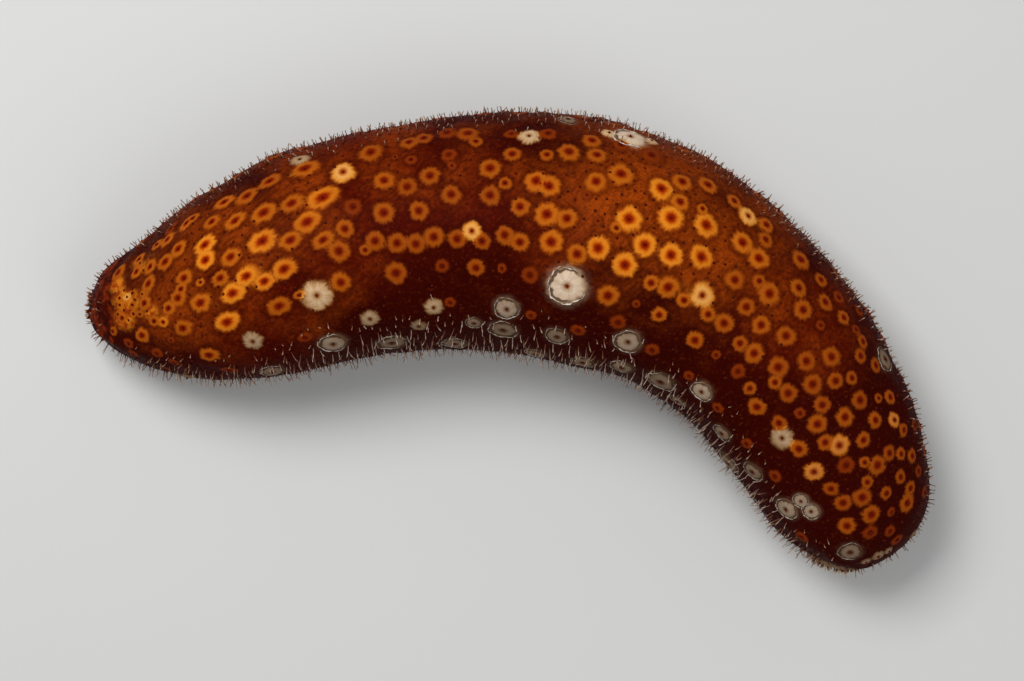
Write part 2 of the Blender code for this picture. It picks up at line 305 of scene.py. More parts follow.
def row_shares():
    """Shares of the body's length at even steps along the back, from tip to tip."""
    turn = np.linspace(0, pi, 2 * AXIS_STEPS + 1)
    fine = turn / pi - END_CROWDING * np.sin(2 * turn) / (2 * pi)
    points = outline_point(fine, MID_BACK)
    run = np.concatenate([[0], np.cumsum(np.linalg.norm(np.diff(points, axis=0), axis=1))])
    return np.interp(np.linspace(0, run[-1], ROWS + 1), run, fine)


def grid_places():
    """Share and angle of every vertex: the vent's tip, the rings between, the mouth's tip."""
    shares = row_shares()
    ring_shares = np.repeat(shares[1:-1], COLUMNS)
    ring_angles = np.tile(np.arange(COLUMNS) * 2 * pi / COLUMNS, ROWS - 1)
    return (np.concatenate([[shares[0]], ring_shares, [shares[-1]]]),
            np.concatenate([[0], ring_angles, [0]]))


def grid_faces():
    """Faces of the skin, wound to face outwards, and each corner's place on its map."""
    row, column = np.meshgrid(np.arange(ROWS), np.arange(COLUMNS), indexing="ij")
    corners = ((row, column), (row, column + 1), (row + 1, column + 1), (row + 1, column))
    last = 1 + (ROWS - 1) * COLUMNS
    vertex = [np.clip(1 + (r - 1) * COLUMNS + c % COLUMNS, 0, last) for r, c in corners]
    vertex = [np.where(r == 0, 0, np.where(r == ROWS, last, v)) for (r, c), v in zip(corners, vertex)]
    faces, places = [], []
    for quad in zip(*[v.ravel() for v in vertex], *[r.ravel() for r, c in corners],
                    *[c.ravel() for r, c in corners]):
        used = [i for i in range(4) if quad[i] not in quad[:i]]
        faces.append([int(quad[i]) for i in used])
        places += [(quad[4 + i] / ROWS, quad[8 + i] / COLUMNS) for i in used]
    return faces, places


def surface_tree(points, faces):
    """A search tree over a surface."""
    return BVHTree.FromPolygons(points.tolist(), faces)


def picture_place(points):
    """Where points are in the picture, in pixels across and down."""
    depth = CAMERA_PLACE.z - points[..., 2]
    across = PICTURE_SIZE[0] / 2 + PIXELS_PER_SLOPE * (points[..., 0] - CAMERA_PLACE.x) / depth
    down = PICTURE_SIZE[1] / 2 - PIXELS_PER_SLOPE * (points[..., 1] - CAMERA_PLACE.y) / depth
    return across, down


def seen_at(tree, across, down):
    """The place on the skin that a pixel of the picture shows and the way it faces, or None twice."""
    ray = Vector((across - PICTURE_SIZE[0] / 2, PICTURE_SIZE[1] / 2 - down, -PIXELS_PER_SLOPE))
    return tree.ray_cast(CAMERA_PLACE, ray.normalized())[:2]


def seen_eyespots(tree):
    """Eyespots that the picture shows."""
    found = []
    chance = np.random.default_rng(EYESPOT_SEED)
    for kind, spots in EYESPOTS.items():
        cream, brightness, rim = EYESPOT_LOOK[kind]
        for across, down, width in spots:
            place, facing = seen_at(tree, across, down)
            if place is None:
                continue
            near_vent = across < VENT_END and cream < 1
            radius = width / 2 * (CAMERA_PLACE.z - place.z) / PIXELS_PER_SLOPE
            radius *= 1 + EDGE_GROWTH * (1 - facing.z)
            radius *= VENT_GROWTH if near_vent else 1
            bright = brightness * (1 - CHANCE_DIMMING * chance.random() * (brightness < 1))
            stretch = VENT_STRETCH if near_vent else 0
            found.append(Eyespot(place, facing, radius, (cream, bright, rim), stretch))
    return found


def unseen_eyespots(found):
    """Adds eyespots where the picture doesn't show the back, at chance places clear of the others."""
    chance = np.random.default_rng(EYESPOT_SEED)
    shares = chance.uniform(*UNSEEN_SHARES, UNSEEN_TRIES)
    angles = chance.uniform(*UNSEEN_ANGLES, UNSEEN_TRIES)
    points, normals = skin_point(shares, angles)
    for angle, point, normal in zip(angles, points, normals):
        low = angle < LOW_FLANK
        kind = "ringed" if low and angle > LOWEST_RINGED and chance.random() < RINGED_CHANCE else "orange"
        if low and kind == "orange" and chance.random() < DIM_CHANCE:
            kind = "dim"
        radius = chance.uniform(*UNSEEN_RADIUS) * MM * (RINGED_GROWTH if kind == "ringed" else 1)
        place = Vector(point)
        spacing = UPPER_SPACING if angle > 0 else LOWER_SPACING
        if all((place - other.place).length > spacing * (radius + other.radius) for other in found):
            found.append(Eyespot(place, Vector(normal), radius, EYESPOT_LOOK[kind], 0))
    return found


def nearest_eyespots(points, spots):
    """For each point: the offset and distance to the nearest eyespot, in its radii, and its look."""
    places, facings, radii, looks, stretches = [np.array(values) for values in zip(*spots)]
    sideways = unit(np.cross(facings, OFFSET_WAY))
    upward = np.cross(facings, sideways)
    offsets, kinds = [], []
    for batch in np.array_split(points, BATCHES):
        apart = batch[:, None] - places[None]
        apart = apart - (apart @ STRETCH_WAY * stretches)[..., None] * STRETCH_WAY
        distance = np.linalg.norm(apart, axis=2) / radii
        nearest = distance.argmin(1)
        weights = np.exp((distance.min(1, keepdims=True) - distance) / LOOK_BLEND)
        rows = np.arange(len(batch))
        step = apart[rows, nearest] / radii[nearest, None]
        offset = np.stack(((step * sideways[nearest]).sum(1), (step * upward[nearest]).sum(1),
                           distance[rows, nearest]), 1)
        offsets.append(np.clip(offset, -LOOK_LIMIT, LOOK_LIMIT))
        kinds.append(weights @ looks / weights.sum(1, keepdims=True))
    return np.concatenate(offsets), np.concatenate(kinds)


End = namedtuple("End", "centre facing side up")


def end_frame(centre, facing):
    """The middle of an end, the way it faces and two directions across it."""
    side = unit(np.cross(facing, (0, 0, 1)))
    return End(centre, facing, side, np.cross(facing, side))


def mouth_frame():
    """The mouth's middle on the skin, the way it faces and two directions across it."""
    points, normals = skin_point(np.array([MOUTH_SHARE]), np.array([MOUTH_ANGLE]))
    return end_frame(points[0], normals[0])


def vent_frame():
    """The vent's middle on the skin, the way it faces and two directions across it."""
    centre = skin_point(np.array([0.0]), np.array([0.0]))[0][0]
    heading = PATH_HEADINGS[0]
    return end_frame(centre, unit(np.array([-np.cos(heading), -np.sin(heading), VENT_TILT])))


def add_attribute(mesh, name, values):
    """Stores a number or a vector for every vertex."""
    kind, slot = ("FLOAT", "value") if values.ndim == 1 else ("FLOAT_VECTOR", "vector")
    attribute = mesh.attributes.new(name, kind, "POINT")
    attribute.data.foreach_set(slot, values.astype(np.float32).ravel())


def new_object(name, content):
    """Adds a mesh, a light or a camera to the scene as an object."""
    shown = bpy.data.objects.new(name, content)
    bpy.context.scene.collection.objects.link(shown)
    return shown


class Value:
    """An output of a node that can be used in sums."""

    def __init__(self, graph, socket):
        self.graph = graph
        self.socket = socket

    def of(self, name):
        """Another output of the same node."""
        return Value(self.graph, self.socket.node.outputs[name])

    def maths(self, operation, *others):
        """The result of a sum with other values or numbers."""
        return self.graph.node("ShaderNodeMath", {"operation": operation}, dict(enumerate((self, *others))))

    def __add__(self, other):
        return self.maths("ADD", other)

    def __mul__(self, other):
        return self.maths("MULTIPLY", other)

    __radd__, __rmul__ = __add__, __mul__

    def __sub__(self, other):
        return self.maths("SUBTRACT", other)

    def __rsub__(self, other):
        return self * -1 + other

    def __truediv__(self, other):
        return self.maths("DIVIDE", other)

    def __rtruediv__(self, other):
        return self ** -1 * other

    def __pow__(self, other):
        return self.maths("POWER", other)

    def least(self, other):
        """The smaller of two values."""
        return self.maths("MINIMUM", other)

    def most(self, other):
        """The greater of two values."""
        return self.maths("MAXIMUM", other)

    def fade(self, low, high):
        """Runs smoothly from 0 at low to 1 at high."""
        return self.graph.node("ShaderNodeMapRange", {"interpolation_type": "SMOOTHSTEP"},
                               {"Value": self, "From Min": low, "From Max": high})

    def bump_at(self, middle, reach):
        """1 at the middle value, falling to 0 at its reach on both sides."""
        return (1 - (self - middle).maths("ABSOLUTE") / reach).most(0)


class Graph:
    """A tree of nodes under construction."""

    def __init__(self, tree):
        self.tree = tree

    def node(self, kind, settings=None, sockets=None, output=0):
        """Adds a node, and gives its output."""
        made = self.tree.nodes.new(kind)
        for name, value in (settings or {}).items():
            if name == "stops":
                self.set_stops(made.color_ramp.elements, value)
            else:
                setattr(made, name, value)
        for name, value in (sockets or {}).items():
            for source in value if isinstance(value, tuple) and isinstance(value[0], Value) else (value,):
                if isinstance(source, Value):
                    self.tree.links.new(source.socket, made.inputs[name])
                else:
                    made.inputs[name].default_value = source
        return Value(self, made.outputs[output]) if made.outputs else made

    def set_stops(self, elements, stops):
        """Gives a colour ramp its stops, as (place, colour)."""
        while len(elements) < len(stops):
            elements.new(1)
        for element, (place, colour) in zip(elements, stops):
            element.position = place
            element.color = (*colour, 1)

    def place(self):
        """A point's place in the object's own space."""
        return self.node("ShaderNodeTexCoord", output="Object")

    def parts(self, vector):
        """A vector's X, with its Y and Z to be had by name."""
        return self.node("ShaderNodeSeparateXYZ", None, {0: vector})

    def vector(self, x, y, z):
        """A vector made of three numbers."""
        return self.node("ShaderNodeCombineXYZ", None, {0: x, 1: y, 2: z})

    def vectors(self, operation, *given, output=0):
        """A sum, a product or the length of vectors."""
        return self.node("ShaderNodeVectorMath", {"operation": operation}, dict(enumerate(given)), output)

    def attribute(self, name):
        """A vector stored on the mesh, as three values."""
        parts = self.parts(self.node("ShaderNodeAttribute", {"attribute_name": name}, output="Vector"))
        return parts, parts.of("Y"), parts.of("Z")

    def number(self, name):
        """A number stored on the mesh."""
        return self.node("ShaderNodeAttribute", {"attribute_name": name}, output="Fac")

    def noise(self, place, scale, detail=2, roughness=0.5):
        """Soft random grain of about 0 to 1, as many times a metre as the scale says."""
        return self.node("ShaderNodeTexNoise", None,
                         {"Vector": place, "Scale": scale, "Detail": detail, "Roughness": roughness})

    def ramp(self, value, stops):
        """Colour by a value, through stops of (place, colour)."""
        return self.node("ShaderNodeValToRGB", {"stops": stops}, {0: value})

    def mix(self, amount, first, second):
        """Colour that runs from the first to the second."""
        first, second = [(*c, 1) if isinstance(c, tuple) else c for c in (first, second)]
        return self.node("ShaderNodeMix", {"data_type": "RGBA"}, {0: amount, 6: first, 7: second}, 2)


class GeometryGraph(Graph):
    """A tree of geometry nodes under construction."""

    def scaled(self, vector, amount):
        """A vector times a number."""
        return self.node("ShaderNodeVectorMath", {"operation": "SCALE"}, {0: vector, "Scale": amount})

    def random_vector(self, seed, reach):
        """A random vector for each point, up to a reach along each axis."""
        even = self.node("FunctionNodeRandomValue", {"data_type": "FLOAT_VECTOR"},
                         {0: (-1, -1, -1), 1: (1, 1, 1), "Seed": seed})
        return self.scaled(even, reach)

    def read(self, name, kind="FLOAT_VECTOR"):
        """A value stored on the geometry."""
        return self.node("GeometryNodeInputNamedAttribute", {"data_type": kind}, {"Name": name})

    def store(self, geometry, name, vector):
        """The geometry with a vector stored on its points."""
        return self.node("GeometryNodeStoreNamedAttribute", {"data_type": "FLOAT_VECTOR", "domain": "POINT"},
                         {"Geometry": geometry, "Name": name, "Value": vector})

    def spread_points(self, given):
        """Evenly spread points on the skin, each with its root's place on the skin's map."""
        spacing = given.of("Spacing")
        density = POINTS_PER_SPACING / (spacing * spacing)
        where = self.read(given.of("Where"), "FLOAT")
        points = self.node("GeometryNodeDistributePointsOnFaces", {"distribute_method": "POISSON"},
                           {"Mesh": given, "Distance Min": spacing, "Density Max": density,
                            "Density Factor": where, "Seed": given.of("Seed")})
        return self.store(points, "root_place", self.read("OFBake"))

    def tube(self, sides, rows):
        """An upright tube 1 long and 1 thick, the parts of its places, and how far along it they are."""
        made = self.node("GeometryNodeMeshCylinder", {"fill_type": "TRIANGLE_FAN"},
                         {"Vertices": sides, "Side Segments": rows, "Radius": 0.5, "Depth": 1.0})
        parts = self.parts(self.node("GeometryNodeInputPosition"))
        return made, parts, parts.of("Z") + 0.5

    def reshaped(self, geometry, parts, along, width, up):
        """The geometry with its place in its tuft's patch stored, widened and put at a height."""
        x, y = parts, parts.of("Y")
        stored = self.store(geometry, "patch", self.vector(x, y, along))
        return self.node("GeometryNodeSetPosition", None,
                         {"Geometry": stored, "Position": self.vector(x * width, y * width, up)})


def new_material(name):
    """A material with an empty tree, its graph and its shader node."""
    made = bpy.data.materials.new(name)
    made.use_nodes = True
    shader = made.node_tree.nodes["Principled BSDF"]
    return made, Graph(made.node_tree), shader


def join(graph, value, shader, name):
    """Leads a value into one of the shader's own sockets."""
    graph.tree.links.new(value.socket, shader.inputs[name])


def set_shader(shader, values):
    """Sets the shader's own sockets by their names."""
    for name, value in values.items():
        shader.inputs[name].default_value = value


# Colours of the skin between the eyespots.
RED_MAROON = (0.085, 0.0046, 0.0006)
MAROON = (0.034, 0.0018, 0.0004)
WARM_BROWN = (0.290, 0.042, 0.0024)
GREY_BROWN = (0.150, 0.066, 0.026)
BELLY_BROWN = (0.120, 0.060, 0.032)
TAIL_MAROON = (0.040, 0.0030, 0.0015)
TAIL_RED = (0.19, 0.020, 0.0030)
WASH_RED, WASH_ORANGE = (0.28, 0.036, 0.003), (0.58, 0.165, 0.009)
DARK_GRAIN, LIGHT_GRAIN, RED_GRAIN = (0.02, 0.001, 0.001), (0.32, 0.07, 0.012), (0.20, 0.02, 0.002)
DARK_STREAK = (0.025, 0.001, 0.001)
STREAK_TURN, STREAK_LENGTH = 0.75, 6
COLLAR_TAN, COLLAR_BROWN = (0.30, 0.18, 0.10), (0.15, 0.07, 0.035)
# Painted shade inside the mouth's and the vent's pits.
PIT_SHADE_BROWN = (0.035, 0.008, 0.005)
# Colours by a ringed eyespot: the skin beside its disc, the disc's fringe and its dark crack.
SHOULDER_TAN, FRINGE_BROWN, CRACK_BROWN = (0.32, 0.22, 0.14), (0.17, 0.07, 0.02), (0.05, 0.020, 0.010)
RIM_WHITE, RIM_GREY, RIM_BROWN = (0.70, 0.62, 0.53), (0.40, 0.34, 0.27), (0.20, 0.13, 0.085)
# Colours of the feet, tentacles and papillae, from the root to the tip where there are two.
FOOT_BROWN, BELLY_FOOT = (0.13, 0.040, 0.016), (0.20, 0.12, 0.07)
FOOT_TAN, FOOT_PALE, FOOT_WHITE = (0.22, 0.12, 0.07), (0.44, 0.34, 0.25), (0.55, 0.48, 0.40)
BACK_DOT = ((0.070, 0.0060, 0.0020), (0.08, 0.010, 0.004))
TENTACLE_TAN = ((0.16, 0.085, 0.04), (0.50, 0.36, 0.20))
LIP_TAN = ((0.13, 0.055, 0.028), (0.62, 0.52, 0.38))
EYESPOT_RED = ((0.07, 0.003, 0.001), (0.11, 0.012, 0.004))
VENT_TAN = ((0.05, 0.005, 0.002), (0.45, 0.26, 0.14))
# Rings and discs as stops of (place, colour), from the middle out to a span of so many radii, and how
# often an eyespot's fringe changes in a metre.
RING_SPAN = 1.5
FRINGE_PITCH = (70.0, 70.0, 70.0)
ORANGE_RING = ((0.0, (0.15, 0.005, 0.0006)), (0.17, (0.17, 0.008, 0.0008)), (0.27, (0.28, 0.036, 0.0015)),
               (0.36, (0.40, 0.086, 0.004)), (0.48, (0.45, 0.110, 0.006)), (0.70, (0.32, 0.062, 0.003)))
YELLOW_RING = ((0.0, (0.20, 0.007, 0.0006)), (0.17, (0.23, 0.012, 0.0008)), (0.27, (0.42, 0.064, 0.002)),
               (0.36, (0.60, 0.155, 0.007)), (0.48, (0.68, 0.215, 0.014)), (0.70, (0.46, 0.110, 0.006)))
DIM_RING = ((0.0, (0.10, 0.006, 0.001)), (0.18, (0.10, 0.007, 0.001)), (0.32, (0.17, 0.020, 0.0015)),
            (0.46, (0.19, 0.026, 0.002)), (0.70, (0.11, 0.011, 0.0012)))
PALE_RING = ((0.0, (0.15, 0.008, 0.001)), (0.12, (0.25, 0.035, 0.003)), (0.22, (0.50, 0.165, 0.024)),
             (0.36, (0.70, 0.325, 0.080)), (0.53, (0.60, 0.230, 0.030)), (0.70, (0.40, 0.105, 0.009)))
CREAM_DISC = ((0.0, (0.16, 0.030, 0.004)), (0.08, (0.25, 0.080, 0.015)), (0.15, (0.50, 0.280, 0.120)),
              (0.30, (0.70, 0.470, 0.270)), (0.52, (0.58, 0.350, 0.170)), (0.70, (0.40, 0.170, 0.050)))
WHITE_DISC = ((0.0, (0.16, 0.030, 0.006)), (0.07, (0.22, 0.070, 0.020)), (0.13, (0.48, 0.320, 0.200)),
              (0.26, (0.68, 0.530, 0.390)), (0.50, (0.62, 0.460, 0.320)), (0.70, (0.32, 0.180, 0.090)))
PALE_DISC = ((0.0, (0.025, 0.008, 0.004)), (0.14, (0.035, 0.011, 0.006)), (0.22, (0.11, 0.068, 0.042)),
             (0.34, (0.17, 0.112, 0.073)), (0.50, (0.11, 0.066, 0.040)), (0.70, (0.05, 0.024, 0.012)))


def eyespot_distance(graph, place, calm):
    """Distance from the nearest eyespot's middle in its radii, its fringe, and which side of it this is."""
    x, y, far = graph.attribute("spot")
    near = (x * x + y * y) ** 0.5
    plain = near + (far - near) * far.fade(0.35, 0.6)
    side = x / (near + 0.05)
    round_it = graph.vector(side, y / (near + 0.05), 0.0)
    fringe = graph.noise(graph.vectors("MULTIPLY_ADD", place, FRINGE_PITCH, round_it), 3.2, 4, 0.65)
    lumps = graph.noise(place, 300, 2)
    edge = plain + ((fringe - 0.5) * 0.8 * calm + (lumps - 0.5) * 0.4) * plain.fade(0.1, 0.9)
    return edge, fringe, side


def ground_colour(graph, place, fine):
    """The skin's colour between the eyespots, and where its dark cap and its orange wash are."""
    warm, grey, under = graph.attribute("zone")
    patch = graph.noise(place, 55, 4, 0.6)
    back = graph.mix((graph.number("back") + (patch - 0.5) * 0.5).fade(0.1, 0.9), MAROON, RED_MAROON)
    colour = graph.mix((warm + (patch - 0.5) * 1.1).fade(0.1, 0.9), back, WARM_BROWN)
    colour = graph.mix((grey + (patch - 0.5) * 0.6).fade(0.2, 0.9), colour, GREY_BROWN)
    colour = graph.mix(under, colour, BELLY_BROWN)
    cap = (graph.attribute("ends")[0] + (fine - 0.5) * 0.7).fade(0.35, 0.65)
    mottle = graph.noise(place, 230, 3).fade(0.45, 0.68)
    colour = graph.mix(cap, colour, graph.mix(mottle, TAIL_MAROON, TAIL_RED))
    colour = graph.mix(fine.fade(0.42, 0.66) * 0.40, colour, DARK_GRAIN)
    colour = graph.mix((1 - fine.fade(0.30, 0.46)) * 0.105, colour, LIGHT_GRAIN)
    along = graph.node("ShaderNodeMapping", {"vector_type": "TEXTURE"},
                       {"Vector": place, "Rotation": (0, 0, STREAK_TURN), "Scale": (STREAK_LENGTH, 1, 1)})
    colour = graph.mix(graph.noise(along, 900, 3).fade(0.48, 0.68) * 0.40, colour, DARK_STREAK)
    wash = graph.number("wash") + (patch - 0.5) * 0.5 + (fine - 0.5) * 0.5
    washed = wash.fade(0.25, 0.9) * (1 - cap)
    mottle = graph.noise(place, 300, 3, 0.6).fade(0.40, 0.60)
    return graph.mix(washed, colour, graph.mix(mottle, WASH_RED, WASH_ORANGE)), cap, washed


def eyespot_colour(graph, distance, fringe, fine):
    """The nearest eyespot's colour: rings round a dark middle, or a cream, tan or white disc."""
    cream, bright, rim = graph.attribute("spot_kind")
    place = distance / RING_SPAN
    ring = graph.mix(bright.fade(0.2, 0.85), graph.ramp(place, DIM_RING), graph.ramp(place, ORANGE_RING))
    ring = graph.mix(bright.fade(0.8, 1.0), ring, graph.ramp(place, YELLOW_RING))
    pale = cream.fade(0.1, 0.4) * bright.fade(0.55, 0.64)
    ring = graph.mix(pale, ring, graph.ramp(place, PALE_RING))
    disc = graph.mix(rim, graph.ramp(place, CREAM_DISC), graph.ramp(place, WHITE_DISC))
    disc = graph.mix(bright, graph.ramp(place, PALE_DISC), disc)
    disc = graph.mix(fringe.fade(0.35, 0.70) * 0.30, disc, FRINGE_BROWN)
    colour = graph.mix(cream.fade(0.6, 0.9), ring, disc)
    return graph.mix(fine.fade(0.5, 0.8) * 0.15, colour, RED_GRAIN)


def skin_colour(graph, place):
    """The skin's colour: patches of brown, eyespots of orange, cream or white, and the two ends."""
    mouth, pit = graph.attribute("ends")[1:]
    bright, rim = graph.attribute("spot_kind")[1:]
    fine = graph.noise(place, 800, 4, 0.6)
    colour, cap, washed = ground_colour(graph, place, fine)
    distance, fringe, side = eyespot_distance(graph, place, 1 - rim * 0.6)
    halo = distance.bump_at(1.3, 0.4) * (1 - rim) * (1 - washed) * 0.45
    colour = graph.mix(halo, colour, MAROON)
    shoulder = (1 - distance.fade(1.0, 1.5)) * rim * fringe.fade(0.3, 0.7) * (0.08 + bright * 0.25)
    colour = graph.mix(shoulder, colour, SHOULDER_TAN)
    within = (1 - distance.fade(0.80, 1.20)) * (1 - cap)
    colour = graph.mix(within, colour, eyespot_colour(graph, distance, fringe, fine))
    crack = distance.bump_at(0.86, 0.11) * rim * side.fade(-0.7, 0.0).most(1 - bright)
    colour = graph.mix((crack * 1.4).least(0.85), colour, CRACK_BROWN)
    colour = graph.mix(mouth, colour, graph.mix(fine.fade(0.38, 0.62), COLLAR_TAN, COLLAR_BROWN))
    # Painted shade in the pits of the mouth and the vent.
    return graph.mix(pit, colour, PIT_SHADE_BROWN)


def skin_bump(graph, place, shader, strength):
    """Fine wrinkles and grain."""
    grain = graph.noise(place, 1500, 3, 0.6)
    wrinkles = graph.noise(place, 330, 3, 0.55)
    height = grain * 0.35 + wrinkles
    bump = graph.node("ShaderNodeBump", None, {"Strength": strength, "Distance": 0.5 * MM, "Height": height})
    join(graph, bump, shader, "Normal")


def skin_material():
    """Wet skin, a little see-through."""
    made, graph, shader = new_material("wet spotted skin")
    place = graph.place()
    join(graph, skin_colour(graph, place), shader, "Base Color")
    join(graph, 0.36 + graph.noise(place, 200, 3) * 0.2, shader, "Roughness")
    set_shader(shader, {"IOR": 1.045, "Subsurface Weight": 0.04, "Subsurface Scale": 1.5 * MM,
                        "Subsurface Radius": (1.0, 0.4, 0.2)})
    skin_bump(graph, place, shader, 0.5)
    return made


# Round patches of the picture as (across, down, reach, strength): where the skin is warm or red, where
# it's washed with orange, where pools of painted light brighten the eyespots, and where there are dark gaps
# in the wash.
WARM_PATCHES = ((380, 160, 70, 0.42), (640, 200, 95, 0.90), (720, 250, 75, 0.75),
                (560, 190, 60, 0.6), (780, 300, 60, 0.5), (470, 170, 60, 0.42), (230, 240, 70, 0.65),
                (300, 215, 60, 0.68), (180, 300, 60, 0.65), (330, 290, 60, 0.35), (250, 320, 60, 0.35),
                (820, 340, 50, 0.3), (530, 160, 40, 0.4))
RED_PATCHES = ((340, 220, 80, 1.0), (420, 205, 60, 0.8), (480, 190, 60, 0.9), (790, 320, 60, 1.0),
               (380, 165, 70, 1.0), (560, 230, 60, 0.8), (250, 300, 80, 0.8), (820, 350, 45, 0.8))
ORANGE_WASHES = ((127, 300, 17, 1.0), (118, 285, 12, 0.9), (140, 266, 12, 0.7), (150, 309, 14, 0.9),
                 (124, 319, 14, 0.9), (145, 292, 10, 0.7), (166, 316, 10, 0.7), (150, 262, 14, 0.5),
                 (252, 274, 18, 0.7), (180, 310, 22, 0.45), (205, 252, 20, 0.4), (285, 268, 16, 0.45),
                 (205, 300, 24, 0.4), (650, 250, 30, 0.3), (700, 235, 34, 0.3), (690, 296, 20, 0.45),
                 (600, 235, 20, 0.3), (395, 243, 30, 0.25), (331, 214, 20, 0.35), (750, 250, 20, 0.45))
# Pools of painted light on the eyespots; outside them painted shade darkens each eyespot.
PAINTED_LIGHT_POOLS = ((650, 230, 110, 1.0), (205, 270, 110, 1.0), (310, 185, 60, 0.7))
DARK_GAPS = ((134, 282, 7, 1.0), (163, 281, 10, 1.0), (159, 296, 9, 1.0), (176, 273, 8, 0.8),
             (141, 325, 5, 0.8), (190, 315, 9, 0.6), (215, 270, 9, 0.6))
# Where fine pale hairs show along the body's edges.
SILVER_PATCHES = ((300, 158, 12, 0.6), (568, 121, 16, 0.8), (620, 134, 16, 1.0), (645, 142, 14, 0.9),
                  (886, 360, 14, 1.0), (878, 557, 12, 0.9), (912, 535, 11, 0.9), (835, 572, 8, 0.9),
                  (740, 476, 14, 0.9), (757, 500, 14, 0.9), (722, 455, 10, 0.8), (791, 538, 10, 0.6),
                  (392, 347, 22, 0.9), (272, 372, 16, 0.8), (194, 375, 12, 0.6), (455, 346, 18, 0.7),
                  (495, 333, 16, 0.6), (537, 354, 14, 0.8), (585, 364, 16, 0.9), (622, 368, 12, 0.7),
                  (697, 430, 12, 0.8))
TAIL_EDGE, TAIL_EDGE_WIDTH = -138.0 * MM, 1.5 * MM


def arc(low, high):
    """Two angles, from degrees."""
    return radians(low), radians(high)


# Where round the body each zone begins and ends: as angles from the level of the outer bend, or, from
# the belly on, from the middle of the back.
GREY_TOP, GREY_BOTTOM = arc(-14, 12), arc(-100, -45)
OUTER_RIM_TOP, OUTER_RIM_BOTTOM, INNER_RIM = arc(22, 40), arc(-40, -20), arc(118, 140)
BELLY_EDGE, WARM_EDGE, FEET_FLANK = arc(128, 165), arc(85, 110), arc(80, 100)


def patches(points, rows):
    """How strongly points lie in any of some round patches of the picture."""
    across, down = picture_place(points)
    amounts = [amount * np.exp(-((across - x) ** 2 + (down - y) ** 2) / reach ** 2)
               for x, y, reach, amount in rows]
    return np.max(amounts, axis=0)


def silver_places(points, normals):
    """How strongly fine pale hairs show: in patches along the edges that the picture shows."""
    by_edge = fade(normals[:, 2], -0.15, 0.05) * (1 - fade(normals[:, 2], 0.25, 0.55))
    return patches(points, SILVER_PATCHES) * by_edge


def skin_zones(points, share, angle, normals):
    """Where the skin is warm, grey or belly brown."""
    turned, back_angle = half_turned(angle), from_mid_back(angle)
    ends = fade(share, 0.015, 0.07) * fade(1 - share, 0.02, 0.12)
    grey = (1 - fade(turned, *GREY_TOP)) * fade(turned, *GREY_BOTTOM) * ends
    under = np.maximum(fade(back_angle, *BELLY_EDGE) * ends, fade(-normals[:, 2], 0.5, 0.95))
    warm = patches(points, WARM_PATCHES) * (1 - fade(back_angle, *WARM_EDGE))
    return np.stack((warm, grey * (1 - under), under), 1)


def painted_shade_share(points, normals, cream):
    """The share of an eyespot's brightness left after painted shade at the body's edges and outside the
    pools of painted light.
    """
    plain = 1 - fade(cream, 0.05, 0.2)
    by_edge = 1 - EDGE_PAINTED_SHADE * (1 - fade(normals[:, 2], 0.10, 0.55)) * plain
    return by_edge * (1 - UNLIT_PAINTED_SHADE * (1 - patches(points, PAINTED_LIGHT_POOLS)) * plain)


# How far the skin rises over an eyespot, falls in its middle and rises over a disc, in millimetres, and
# its folds and creases, as (height in millimetres, length, seed).
PAD_RISE, DENT_DEPTH, DISC_RISE = 0.35, 0.5, 0.25
FOLDS, CREASES = (0.35, 28 * MM, 3), (0.16, 9 * MM, 4)
CAP_EDGE_WAVES = (1.2 * MM, 9 * MM, 5)
# Each opening's folded collar and the pit inside it, with heights and depths in millimetres.
MOUTH_OPENING = dict(radius=7.6 * MM, width=2.2 * MM, height=1.3, folds=20, fold_height=0.35,
                     depth=4.2, pit=(3.2 * MM, 6.2 * MM))
VENT_OPENING = dict(radius=4.4 * MM, width=1.6 * MM, height=0.9, folds=10, fold_height=0.3,
                    depth=3.6, pit=(1.2 * MM, 3.4 * MM))
# Points out of the mouth's reach count as far away from it, and the relief fades where the skin faces down.
MOUTH_REACH, FAR_AWAY = 25 * MM, 1
FLAT_SOLE = (0.75, 0.98)
Grid = namedtuple("Grid", "share angle points normals distance cream mouth vent")
Skin = namedtuple("Skin", "mesh tree map_places spots")


def skin_rise(points, distance, cream):
    """How far the skin rises in millimetres over eyespots, folds and creases."""
    rise = PAD_RISE * (1 - fade(distance, 0.3, 1.2)) - DENT_DEPTH * (1 - fade(distance, 0.0, 0.35))
    rise += DISC_RISE * cream * (1 - fade(distance, 0.6, 1.0))
    return rise + (waves(points, *FOLDS) + waves(points, *CREASES))


def opening_rise(distance, turn, opening):
    """How far the skin rises in millimetres on an opening's folded collar, and falls in its pit."""
    collar = np.exp(-((distance - opening["radius"]) / opening["width"]) ** 2)
    height = opening["height"] + opening["fold_height"] * np.cos(opening["folds"] * turn)
    return collar * height - opening["depth"] * (1 - fade(distance, *opening["pit"]))


def from_mouth(points):
    """How far points are from the mouth's middle, and how far round it they are."""
    mouth = mouth_frame()
    apart = points - mouth.centre
    across, along = apart @ mouth.side, apart @ mouth.up
    elsewhere = np.where(np.linalg.norm(apart, axis=1) > MOUTH_REACH, FAR_AWAY, 0)
    return np.hypot(across, along) + elsewhere, np.arctan2(along, across)


def end_zones(points, mouth, vent):
    """Where the dark cap, the mouth's collar and the painted shade in the two pits are."""
    edge = points[:, 0] + waves(points, *CAP_EDGE_WAVES)
    cap = 1 - fade(edge, TAIL_EDGE - TAIL_EDGE_WIDTH, TAIL_EDGE + TAIL_EDGE_WIDTH)
    # Painted shade that darkens the two pits.
    pit_shade = np.maximum(1 - fade(mouth, 4 * MM, 6 * MM), 1 - fade(vent, 2 * MM, 3.2 * MM))
    return np.stack((cap, 1 - fade(mouth, 9 * MM, 13 * MM), pit_shade), 1)


